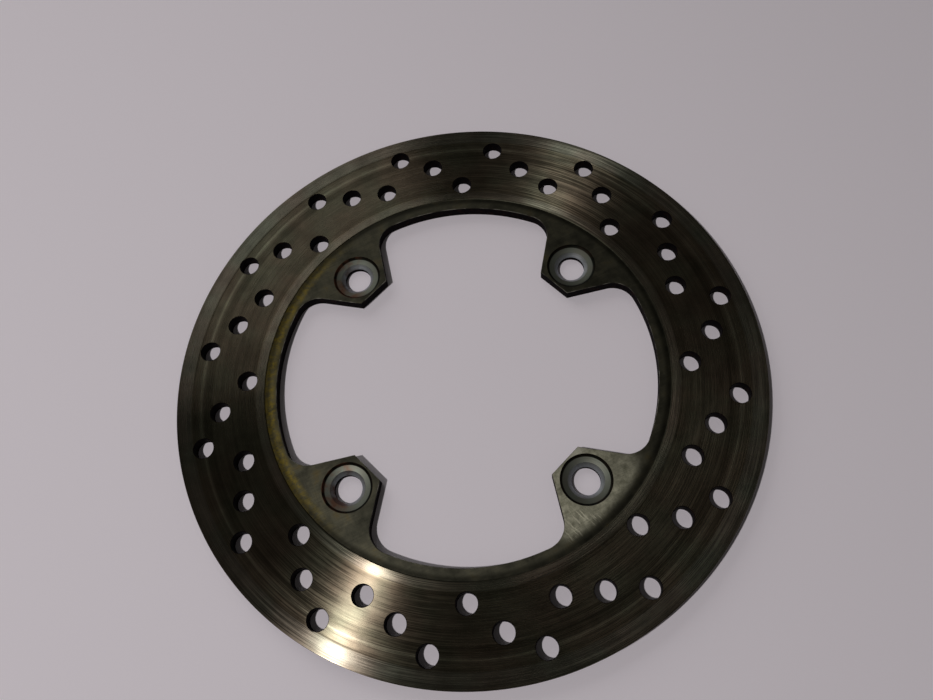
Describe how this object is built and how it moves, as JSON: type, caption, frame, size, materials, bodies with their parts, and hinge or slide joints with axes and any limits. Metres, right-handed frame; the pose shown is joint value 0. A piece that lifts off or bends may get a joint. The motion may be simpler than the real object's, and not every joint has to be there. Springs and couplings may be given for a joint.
{
  "type": "motorcycle brake disc",
  "caption": "Fixed rear brake disc for a motorcycle: one flat steel plate with a drilled friction band and inward lugs that bolt to the hub.",
  "frame": {"origin": "on the wheel axis, in the plane of the lugs' hub-side faces", "axes": "+Z along the wheel axis, outboard, away from the hub; X and Y lie in the plate, with the bolt holes on the diagonals between them"},
  "size_m": [0.22, 0.22, 0.005],
  "materials": {
    "disc_steel": "ground and worn stainless steel, dulled by heat and brake dust"
  },
  "bodies": {
    "root": {"brake_disc": "disc_steel"}
  },
  "joints": []
}
